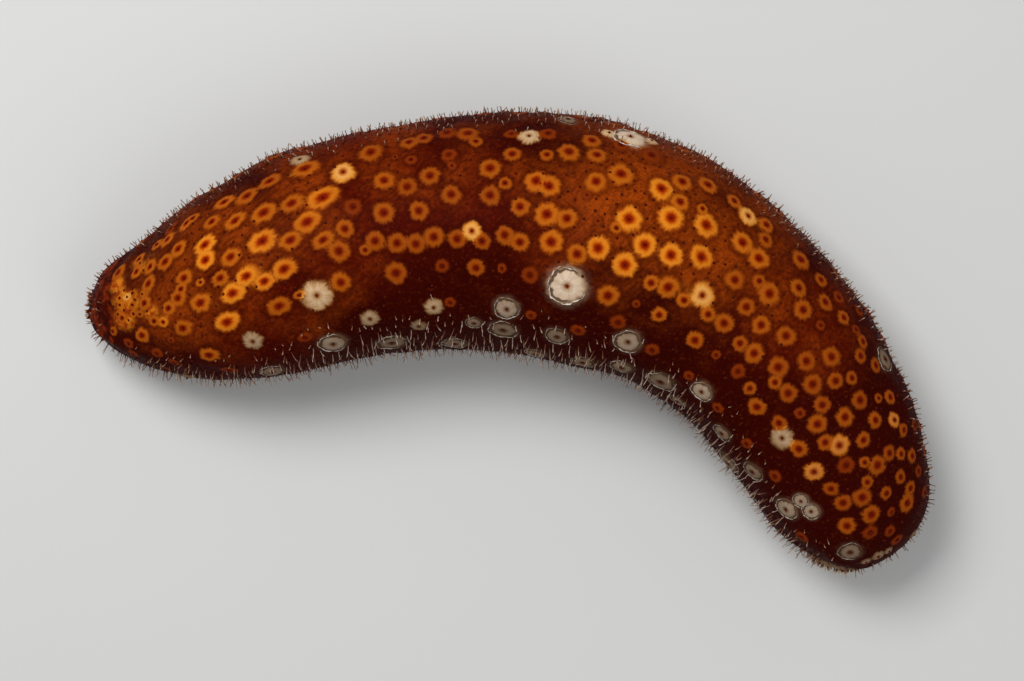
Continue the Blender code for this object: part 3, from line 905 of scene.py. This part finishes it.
def coat_places(grid):
    """Where each coat of tube feet grows, and the way that its feet lean."""
    turned = half_turned(grid.angle)
    clear = fade(grid.mouth, 9 * MM, 10 * MM) * fade(grid.vent, 4 * MM, 5 * MM)
    sole = fade(-grid.normals[:, 2], 0.84, 0.95)
    flank = fade(from_mid_back(grid.angle), *FEET_FLANK)
    rim = (1 - fade(turned, *OUTER_RIM_TOP)) * fade(turned, *OUTER_RIM_BOTTOM)
    rim = np.maximum(rim, 1 - fade(grid.share, 0.015, 0.03))
    rim = np.maximum(rim, silver_places(grid.points, grid.normals) * (1 - flank))
    inner = fade(turned, *INNER_RIM) * (1 - flank)
    between = fade(grid.distance, 0.90, 1.05)
    off_discs = 1 - (grid.cream > 0.8) * (1 - fade(grid.distance, 0.85, 0.95))
    dotted = 0.3 + 0.7 * patches(grid.points, WARM_PATCHES)
    heading = np.interp(grid.share, PATH_SHARES, PATH_HEADINGS)
    along = np.stack((np.cos(heading), np.sin(heading), 0 * heading), 1)
    downward = np.cross(grid.normals, along)
    downward *= np.where(downward[:, 2] > 0, -1, 1)[:, None]
    lean = (FLANK_LEAN * flank * (1 - sole))[:, None] * downward
    return {"back_feet": clear * between * (1 - flank) * (1 - rim) * dotted,
            "rim_feet": clear * off_discs * np.maximum(rim * (1 - flank) * 0.9, 0.75 * inner * between),
            "flank_feet": clear * off_discs * flank * (1 - sole),
            "sole_feet": clear * sole,
            "grow": unit(grid.normals + lean)}


def mapped_mesh(points, faces, corner_places):
    """A smooth mesh with its unwrap."""
    mesh = bpy.data.meshes.new("skin")
    mesh.from_pydata(points.tolist(), [], faces)
    mesh.polygons.foreach_set("use_smooth", [True] * len(faces))
    uv = mesh.uv_layers.new(name="OFBake")
    uv.data.foreach_set("uv", np.array(corner_places, np.float32).ravel())
    return mesh


def shaped_skin():
    """The skin with its relief, markings and the places where feet grow."""
    share, angle = grid_places()
    faces, corner_places = grid_faces()
    even, normals = skin_point(share, angle)
    spots = unseen_eyespots(seen_eyespots(surface_tree(even, faces)))
    offsets, kinds = nearest_eyespots(even, spots)
    distance, cream = offsets[:, 2], kinds[:, 0]
    # Painted shade: eyespots darkened at the body's edges and outside the pools of painted light.
    kinds[:, 1] *= painted_shade_share(even, normals, cream)
    mouth, mouth_turn = from_mouth(even)
    vent = np.linalg.norm(even - even[0], axis=1)
    rise = skin_rise(even, distance, cream)
    rise += opening_rise(mouth, mouth_turn, MOUTH_OPENING)
    rise += opening_rise(vent, angle, VENT_OPENING)
    rise *= 1 - fade(-normals[:, 2], *FLAT_SOLE)
    points = even + normals * rise[:, None] * MM
    washes = patches(points, ORANGE_WASHES) * (1 - patches(points, DARK_GAPS))
    stored = {"spot": offsets, "spot_kind": kinds,
              "zone": skin_zones(even, share, angle, normals),
              "ends": end_zones(even, mouth, vent),
              "wash": washes * fade(normals[:, 2], -0.1, 0.2),
              "silver": silver_places(points, normals),
              "back": patches(points, RED_PATCHES) * fade(normals[:, 2], -0.2, 0.3)}
    stored.update(coat_places(Grid(share, angle, points, normals, distance, cream, mouth, vent)))
    mesh = mapped_mesh(points, faces, corner_places)
    for name, values in stored.items():
        add_attribute(mesh, name, values)
    first_corners = np.cumsum([0] + [len(face) for face in faces[:-1]])
    map_places = [corner_places[corner] for corner in first_corners]
    return Skin(mesh, surface_tree(points, faces), map_places, spots)


# Each coat of feet: its spacing, lengths, thickness and sway in millimetres, how far its directions
# scatter, and how many pieces it is kept in.
COATS = {
    "back_feet": dict(spacing=3.3, shortest=0.30, longest=0.50, thickness=0.85, scatter=0.25, sway=0.1,
                      seed=11, pieces=1),
    "rim_feet": dict(spacing=2.8, shortest=1.4, longest=2.5, thickness=0.52, scatter=0.35, sway=0.5,
                     seed=12, pieces=1),
    "flank_feet": dict(spacing=2.7, shortest=2.6, longest=4.3, thickness=0.42, scatter=0.25, sway=1.0,
                       seed=13, pieces=3),
    "sole_feet": dict(spacing=3.2, shortest=0.9, longest=1.2, thickness=1.0, scatter=0.15, sway=0.2,
                      seed=14, pieces=1),
}
# How far feet on the flank lean down, a place on the map past the body's end, how many points are tried
# in each square of the spacing, and how wide a tuft's patch on the map is and how much its tip narrows.
FLANK_LEAN = 0.9
PAST_THE_END = 2.0
POINTS_PER_SPACING = 5.0
TUFT_PATCH, TIP_NARROWING = 0.003, 0.7


def add_inputs(tree, kind, *labels):
    """Gives a tree inputs of one kind."""
    for label in labels:
        tree.interface.new_socket(label, in_out="INPUT", socket_type="NodeSocket" + kind)


def growth_tree(name, shape, material, spread):
    """A tree that grows a shape on a skin where it is spread over it, or else on each vertex."""
    tree = bpy.data.node_groups.new(name, "GeometryNodeTree")
    add_inputs(tree, "Geometry", "Roots")
    add_inputs(tree, "String", "Where")
    add_inputs(tree, "Float", "Spacing", "Shortest", "Longest", "Thickness", "Scatter", "Sway", "From", "To")
    add_inputs(tree, "Int", "Seed")
    tree.interface.new_socket("Grown", in_out="OUTPUT", socket_type="NodeSocketGeometry")
    graph = GeometryGraph(tree)
    given = graph.node("NodeGroupInput")
    seed = given.of("Seed")
    if spread:
        points = graph.spread_points(given)
    else:
        points = graph.node("GeometryNodeMeshToPoints", None, {0: given})
    points = graph.store(points, "sway", graph.random_vector(seed + 1, given.of("Sway")))
    along_body = graph.parts(graph.read("root_place"))
    kept = 1 - along_body.maths("LESS_THAN", given.of("From"))
    kept *= along_body.maths("LESS_THAN", given.of("To"))
    points = graph.node("GeometryNodeSeparateGeometry", {"domain": "POINT"}, {0: points, 1: kept})
    aim = graph.vectors("ADD", graph.read("grow"), graph.random_vector(seed + 2, given.of("Scatter")))
    turn = graph.node("FunctionNodeAlignRotationToVector", {"axis": "Z"}, {"Vector": aim})
    length = graph.node("FunctionNodeRandomValue", {"data_type": "FLOAT"},
                        {2: given.of("Shortest"), 3: given.of("Longest"), "Seed": seed + 3}, 1)
    scale = graph.vector(given.of("Thickness"), given.of("Thickness"), length)
    placed = graph.node("GeometryNodeInstanceOnPoints", None,
                        {"Points": points, "Instance": shape(graph), "Rotation": turn, "Scale": scale})
    real = graph.node("GeometryNodeRealizeInstances", None, {0: placed})
    along = graph.parts(graph.read("patch")).of("Z")
    bent = graph.node("GeometryNodeSetPosition", None,
                      {"Geometry": real, "Offset": graph.scaled(graph.read("sway"), along * along)})
    shown = graph.node("GeometryNodeSetMaterial", None, {"Geometry": bent, "Material": material})
    graph.node("NodeGroupOutput", None, {0: shown})
    return tree


def foot_shape(graph):
    """One tube foot, 1 long and about 1 thick: a flared foot, a slim shaft and a small sucker."""
    tube, parts, along = graph.tube(6, 5)
    width = 0.50 + 0.9 * (1 - along) ** 4 + 0.35 * along.bump_at(0.8, 0.2) - 0.15 * along.fade(0.85, 1.0)
    return graph.reshaped(tube, parts, along, width, along - 0.04)


def knob_shape(graph):
    """One papilla, 1 long and 1 thick: a soft cone with a round tip."""
    tube, parts, along = graph.tube(8, 5)
    width = (1.02 - along ** 2.2) ** 0.5
    return graph.reshaped(tube, parts, along, width, along - 0.06)


def tentacle_shape(graph):
    """One shield-shaped tentacle, about 1 long: a stout stalk under a dome of round knobs."""
    tube, parts, along = graph.tube(12, 6)
    stalk = graph.reshaped(tube, parts, along * 0.7, 0.42 + 0.5 * along ** 3, along * 0.8)
    dome = graph.node("GeometryNodeMeshIcoSphere", None, {"Radius": 0.42, "Subdivisions": 2})
    high = graph.parts(graph.node("GeometryNodeInputPosition")).of("Z").maths("GREATER_THAN", -0.12)
    knob = graph.node("GeometryNodeMeshIcoSphere", None, {"Radius": 0.15, "Subdivisions": 2})
    knobs = graph.node("GeometryNodeInstanceOnPoints", None,
                       {"Points": dome, "Selection": high, "Instance": knob})
    real = graph.node("GeometryNodeRealizeInstances", None, {0: knobs})
    parts = graph.parts(graph.node("GeometryNodeInputPosition"))
    up = parts.of("Z")
    crown = graph.reshaped(real, parts, 0.7 + up * 0.6, 1.15, up * 0.75 + 0.72)
    return graph.node("GeometryNodeJoinGeometry", None, {0: (stalk, crown)})


def feet_material():
    """Pale, see-through feet that darken to the skin's colour at their roots, whiter by the discs."""
    made, graph, shader = new_material("wet tube feet")
    along = graph.attribute("patch")[2]
    grey, under = graph.attribute("zone")[1:]
    cream = graph.attribute("spot_kind")[0]
    distance = graph.attribute("spot")[2]
    by_disc = cream.fade(0.6, 0.9) * (1 - distance.fade(1.3, 1.8))
    root = graph.mix(under, MAROON, BELLY_BROWN)
    colour = graph.mix(along.fade(0.0, 0.4), root, graph.mix(grey, FOOT_BROWN, BELLY_FOOT))
    pale = graph.mix(graph.noise(graph.place(), 260).fade(0.4, 0.65), FOOT_TAN, FOOT_PALE)
    colour = graph.mix(along.fade(0.3, 0.9) * 0.85, colour, pale)
    white = (by_disc * 0.35).most(graph.number("silver") * 0.8)
    colour = graph.mix(white * along.fade(0.0, 0.3), colour, FOOT_WHITE)
    join(graph, colour, shader, "Base Color")
    set_shader(shader, {"Roughness": 0.35, "Specular IOR Level": 0.12,
                        "Subsurface Weight": 0.15, "Subsurface Scale": 1.0 * MM})
    return made


def tipped_material(name, low, high):
    """One colour at the root and another at the tip, with some grain."""
    made, graph, shader = new_material(name)
    place = graph.place()
    along = graph.attribute("patch")[2] + (graph.noise(place, 700, 3) - 0.5) * 0.7
    join(graph, graph.mix(along.fade(0.25, 0.9), low, high), shader, "Base Color")
    skin_bump(graph, place, shader, 0.3)
    set_shader(shader, {"Roughness": 0.4, "Specular IOR Level": 0.02})
    return made


def set_inputs(modifier, values):
    """Sets a modifier's inputs by their names."""
    names = {item.name: item.identifier for item in modifier.node_group.interface.items_tree
             if item.in_out == "INPUT"}
    for name, value in values.items():
        modifier[names[name]] = value


def vertex_values(values, name):
    """A list of stored vectors as an array."""
    found = np.zeros(len(values) * 3, np.float32)
    values.foreach_get(name, found)
    return found.reshape(-1, 3)


def map_tufts(mesh):
    """Gives each tuft a small patch on the skin's map, round the place of its root."""
    root = vertex_values(mesh.attributes["root_place"].data, "vector")[:, :2]
    patch = vertex_values(mesh.attributes["patch"].data, "vector")
    place = root + patch[:, :2] * (1 - TIP_NARROWING * patch[:, 2:]) * TUFT_PATCH
    corner_vertex = np.zeros(len(mesh.loops), np.int32)
    mesh.loops.foreach_get("vertex_index", corner_vertex)
    for layer in list(mesh.uv_layers):
        mesh.uv_layers.remove(layer)
    if "OFBake" in mesh.attributes:
        mesh.attributes.remove(mesh.attributes["OFBake"])
    uv = mesh.uv_layers.new(name="OFBake")
    uv.data.foreach_set("uv", np.clip(place[corner_vertex], 0, 1).astype(np.float32).ravel())


def grown_piece(name, roots, tree, settings, start=0.0, end=PAST_THE_END):
    """Grows a tree's shape on the roots' mesh, and gives it as a plain piece within the solid part's box."""
    grower = new_object("growing " + name, roots)
    modifier = grower.modifiers.new("growth", "NODES")
    modifier.node_group = tree
    given = {"Where": settings.get("where", ""), "Scatter": settings["scatter"], "Seed": settings["seed"],
             "From": start, "To": end}
    for size in ("spacing", "shortest", "longest", "thickness", "sway"):
        given[size.title()] = settings.get(size, 0.0) * MM
    set_inputs(modifier, given)
    graph = bpy.context.evaluated_depsgraph_get()
    mesh = bpy.data.meshes.new_from_object(grower.evaluated_get(graph), depsgraph=graph)
    bpy.data.objects.remove(grower)
    places = vertex_values(mesh.vertices, "co")
    mesh.vertices.foreach_set("co", np.clip(places, *bounds_at_load).ravel())
    map_tufts(mesh)
    mesh.polygons.foreach_set("use_smooth", [True] * len(mesh.polygons))
    return new_object(name, mesh)


def grow_coats(skin):
    """All the coats of tube feet, as pieces of a limited size."""
    feet, dots = feet_material(), tipped_material("dark drawn-in feet", *BACK_DOT)
    pieces = []
    for name, settings in COATS.items():
        tree = growth_tree("coat of tube feet", foot_shape, dots if name == "back_feet" else feet, True)
        look = dict(settings, where=name)
        cuts = np.linspace(0, 1, settings["pieces"] + 1)
        cuts[-1] = PAST_THE_END
        for number, (start, end) in enumerate(zip(cuts[:-1], cuts[1:]), 1):
            pieces.append(grown_piece(f"{name}_{number}", skin.mesh.copy(), tree, look, start, end))
    return pieces


def root_mesh(places, aims, skin):
    """Vertices to grow shapes on, each with the way it grows and its place on the skin's map."""
    mesh = bpy.data.meshes.new("roots")
    mesh.from_pydata([tuple(place) for place in places], [], [])
    add_attribute(mesh, "grow", unit(np.array([tuple(aim) for aim in aims])))
    nearest = [skin.map_places[skin.tree.find_nearest(Vector(place))[2]] for place in places]
    add_attribute(mesh, "root_place", np.array([(*place, 0) for place in nearest]))
    return mesh


def grow_at(roots, name, shape, finish, colours, look):
    """Grows a shape at each root, as one piece."""
    tree = growth_tree(finish, shape, tipped_material(finish, *colours), False)
    return grown_piece(name, roots, tree, look)


def ring_places(end, radius, count, depth, turn, chance=None):
    """Places on a circle across the mouth or the vent, and the ways out from its middle."""
    angles = turn + np.arange(count) * 2 * pi / count
    if chance is not None:
        angles = angles + chance.uniform(-RING_TURN_SCATTER, RING_TURN_SCATTER, count)
        radius = radius + chance.uniform(-RING_SCATTER, RING_SCATTER, (count, 1)) * MM
    outward = np.cos(angles)[:, None] * end.side + np.sin(angles)[:, None] * end.up
    return end.centre + outward * radius + end.facing * depth, outward


def skin_rings(skin, end, rings, depth, chance=None):
    """Roots on the skin in rings round the mouth or the vent."""
    places, aims = [], []
    for radius, count, lean in rings:
        ring, outward = ring_places(end, radius * MM, count, depth, radius, chance)
        places += [skin.tree.find_nearest(Vector(place))[0] for place in ring]
        aims += [Vector(end.facing + away * lean) for away in outward]
    return root_mesh(places, aims, skin)


# Rings of ten tentacles as (radius, depth in millimetres, turn, lean), and rings of papillae as
# (radius in millimetres, count, lean), with their height and their scatter in radians and millimetres.
TENTACLES_A_RING = 10
TENTACLE_RINGS = ((3.5, -2.6, 0.0, 0.45), (1.7, -2.2, pi / 10, 0.2))
UPRIGHT_RADIUS, LIP_SPREAD = 6.0, 0.22
LIP_RINGS = [(radius, count, (radius - UPRIGHT_RADIUS) * LIP_SPREAD)
             for radius, count in ((6.3, 20), (7.6, 26), (9.0, 30), (10.6, 30))]
VENT_RINGS = ((3.6, 10, 0.15), (4.9, 15, 0.15))
LIP_RING_HEIGHT, VENT_RING_HEIGHT = 2 * MM, 1 * MM
RING_TURN_SCATTER, RING_SCATTER = 0.12, 0.5
RING_SEED = 23
# Lengths, thickness and sway in millimetres, and how far the directions scatter.
TENTACLES = dict(shortest=2.9, longest=3.5, thickness=2.1, scatter=0.12, sway=0.2, seed=31)
LIP_PAPILLAE = dict(shortest=1.3, longest=2.4, thickness=0.9, scatter=0.2, sway=0.3, seed=32)
SPOT_PAPILLAE = dict(shortest=0.6, longest=1.1, thickness=0.75, scatter=0.3, sway=0.2, seed=33)
VENT_PAPILLAE = dict(shortest=1.2, longest=1.8, thickness=0.8, scatter=0.2, sway=0.2, seed=34)


def grow_tentacles(skin):
    """Twenty tentacles drawn in to the mouth."""
    end = mouth_frame()
    places, aims = [], []
    for radius, depth, turn, lean in TENTACLE_RINGS:
        ring, outward = ring_places(end, radius * MM, TENTACLES_A_RING, depth * MM, turn)
        places += list(ring)
        aims += list(end.facing + outward * lean)
    roots = root_mesh(places, aims, skin)
    return grow_at(roots, "tentacles", tentacle_shape, "mouth tentacles", TENTACLE_TAN, TENTACLES)


def grow_lip_papillae(skin):
    """Papillae in rings on the mouth's lip."""
    chance = np.random.default_rng(RING_SEED)
    roots = skin_rings(skin, mouth_frame(), LIP_RINGS, LIP_RING_HEIGHT, chance)
    return grow_at(roots, "lip_papillae", knob_shape, "lip papillae", LIP_TAN, LIP_PAPILLAE)


def grow_spot_papillae(skin):
    """The small papilla in the middle of each eyespot."""
    places = [skin.tree.find_nearest(spot.place)[0] for spot in skin.spots]
    roots = root_mesh(places, [spot.facing for spot in skin.spots], skin)
    return grow_at(roots, "spot_papillae", knob_shape, "eyespot papillae", EYESPOT_RED, SPOT_PAPILLAE)


def grow_vent_papillae(skin):
    """Small papillae in rings round the vent."""
    roots = skin_rings(skin, vent_frame(), VENT_RINGS, VENT_RING_HEIGHT)
    return grow_at(roots, "vent_papillae", knob_shape, "vent papillae", VENT_TAN, VENT_PAPILLAE)


# The raised white lines: steps along and sides across, size, seed, the angles that they start at and run
# through, their waves as (height, how many to a turn), and the eyespot's radius that the size is for.
RIM_STEPS, RIM_SIDES = 72, 6
RIM_WIDTH, RIM_HEIGHT, RIM_LIFT = 0.15 * MM, 0.28 * MM, 0.12 * MM
RIM_SEED = 52
RIM_START, RIM_ARC = (4.2, 5.0), (4.4, 5.6)
RIM_WOBBLE = ((0.05, 3), (0.035, 7), (0.02, 17))
RIM_UNEVENNESS = ((0.25, 5), (0.25, 13), (0.15, 29))
USUAL_RADIUS = 4 * MM


def ripple(middle, heights, turn, phases):
    """A middle value with waves round a turn added."""
    for (height, count), phase in zip(heights, phases):
        middle += height * np.sin(count * turn + phase)
    return middle


def rim_section(root, normal, outward, thin):
    """Corners round a line at one place on the skin."""
    corners = []
    for around in np.arange(RIM_SIDES) * 2 * pi / RIM_SIDES:
        reach = outward * (np.cos(around) * RIM_WIDTH * thin) + normal * (np.sin(around) * RIM_HEIGHT * thin)
        corners.append(tuple(root + normal * RIM_LIFT + reach))
    return corners


def rim_line(spot, skin, chance):
    """The line round one ringed eyespot: its corners, and the place of each on the skin's map."""
    side = spot.facing.cross(Vector(OFFSET_WAY)).normalized()
    up = spot.facing.cross(side)
    phases = chance.uniform(0, 2 * pi, 3)
    start, arc_length = chance.uniform(*RIM_START), chance.uniform(*RIM_ARC)
    size = (spot.radius / USUAL_RADIUS) ** 1.2 * (0.65 + 0.35 * spot.look[1])
    points, map_places = [], []
    for step in range(RIM_STEPS):
        share = step / (RIM_STEPS - 1)
        turn = start + arc_length * share
        outward = side * np.cos(turn) + up * np.sin(turn)
        reach = spot.radius * (1 + ripple(0, RIM_WOBBLE, turn, phases))
        root, normal, face = skin.tree.find_nearest(spot.place + outward * reach)[:3]
        tapered = min(1, 8 * share, 8 * (1 - share)) * max(ripple(0.60, RIM_UNEVENNESS, turn, phases), 0.1)
        points += rim_section(root, normal, outward, (tapered + 0.03) * size)
        map_places += [(*skin.map_places[face], 0)] * RIM_SIDES
    return points, map_places


def rim_faces(first):
    """Faces of one line, from the number of its first corner, with a cap on each end."""
    last = first + (RIM_STEPS - 1) * RIM_SIDES
    faces = []
    for low in range(first, last, RIM_SIDES):
        high = low + RIM_SIDES
        for corner in range(RIM_SIDES):
            after = (corner + 1) % RIM_SIDES
            faces.append((low + corner, low + after, high + after, high + corner))
    faces.append(tuple(range(first + RIM_SIDES - 1, first - 1, -1)))
    faces.append(tuple(range(last, last + RIM_SIDES)))
    return faces


def rim_material():
    """White lines that are greyer round dim eyespots, with brown stains."""
    made, graph, shader = new_material("white rims")
    clean = graph.mix(graph.number("whiteness").fade(0.0, 0.8), RIM_GREY, RIM_WHITE)
    colour = graph.mix(graph.noise(graph.place(), 600, 3).fade(0.3, 0.6), RIM_BROWN, clean)
    join(graph, colour, shader, "Base Color")
    set_shader(shader, {"Roughness": 0.4})
    return made


def white_rims(skin):
    """The raised white line round each ringed eyespot, broken here and there, as one piece."""
    chance = np.random.default_rng(RIM_SEED)
    points, faces, roots, whiteness = [], [], [], []
    for spot in [spot for spot in skin.spots if spot.look[2] >= 0.5]:
        corners, map_places = rim_line(spot, skin, chance)
        faces += rim_faces(len(points))
        points += corners
        roots += map_places
        whiteness += [spot.look[1]] * len(corners)
    mesh = bpy.data.meshes.new("white rims")
    mesh.from_pydata(points, [], faces)
    mesh.validate()
    mesh.update()
    numbers = np.arange(len(points))
    patch = np.stack((np.cos(numbers), np.sin(numbers), np.ones(len(points))), 1) / 2
    add_attribute(mesh, "root_place", np.array(roots))
    add_attribute(mesh, "patch", patch)
    add_attribute(mesh, "whiteness", np.array(whiteness))
    map_tufts(mesh)
    mesh.polygons.foreach_set("use_smooth", [True] * len(mesh.polygons))
    mesh.materials.append(rim_material())
    return new_object("white_rims", mesh)


def sea_cucumber():
    """All the pieces of the animal, with the skin first and the tentacles next."""
    skin = shaped_skin()
    body = new_object("skin", skin.mesh)
    skin.mesh.materials.append(skin_material())
    return [body, grow_tentacles(skin), grow_lip_papillae(skin), *grow_coats(skin),
            grow_spot_papillae(skin), grow_vent_papillae(skin), white_rims(skin)]


FLOOR_SIDE, FLOOR_FADE = 60, (0.9, 4.5)
FLOOR_GREY = (0.62, 0.62, 0.61, 1)
# Lamps as name, place, size in metres and power in watts.
LAMPS = (("key light", (-0.35, 0.45, 0.95), 0.5, 9.0), ("fill light", (0.6, -0.4, 0.8), 0.7, 2.5))
ROOM_GREY, ROOM_STRENGTH = (0.94, 0.95, 0.97, 1), 0.35


def lay_floor():
    """A pale floor that fades out far away."""
    reach = FLOOR_SIDE / 2
    corners = [(-reach, -reach, 0), (reach, -reach, 0), (reach, reach, 0), (-reach, reach, 0)]
    floor_mesh = bpy.data.meshes.new("floor")
    floor_mesh.from_pydata(corners, [], [(0, 1, 2, 3)])
    made, graph, shader = new_material("pale floor")
    away = graph.vectors("LENGTH", graph.place(), output=1)
    join(graph, 1 - away.fade(*FLOOR_FADE), shader, "Alpha")
    set_shader(shader, {"Base Color": FLOOR_GREY, "Roughness": 0.8})
    floor_mesh.materials.append(made)
    new_object("floor", floor_mesh)


def light_room():
    """Soft light from the upper left, some from the lower right, and a pale room."""
    for name, place, size, power in LAMPS:
        light = bpy.data.lights.new(name, "AREA")
        light.size = size
        light.energy = power
        lamp = new_object(name, light)
        lamp.location = place
        lamp.rotation_euler = Vector(place).to_track_quat("Z", "Y").to_euler()
    room = bpy.data.worlds.new("pale room")
    room.use_nodes = True
    set_shader(room.node_tree.nodes["Background"], {"Color": ROOM_GREY, "Strength": ROOM_STRENGTH})
    bpy.context.scene.world = room


def set_camera():
    """A camera that looks straight down."""
    camera = bpy.data.cameras.new("camera")
    camera.lens, camera.sensor_width = LENS, SENSOR
    eye = new_object("camera", camera)
    eye.location = CAMERA_PLACE
    bpy.context.scene.camera = eye
    bpy.context.scene.view_settings.view_transform = "Standard"


pieces = sea_cucumber()
lay_floor()
light_room()
set_camera()
for piece in pieces:
    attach(piece, "root")
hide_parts(*[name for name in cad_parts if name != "tentacle_crown"])
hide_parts("tentacle_crown")
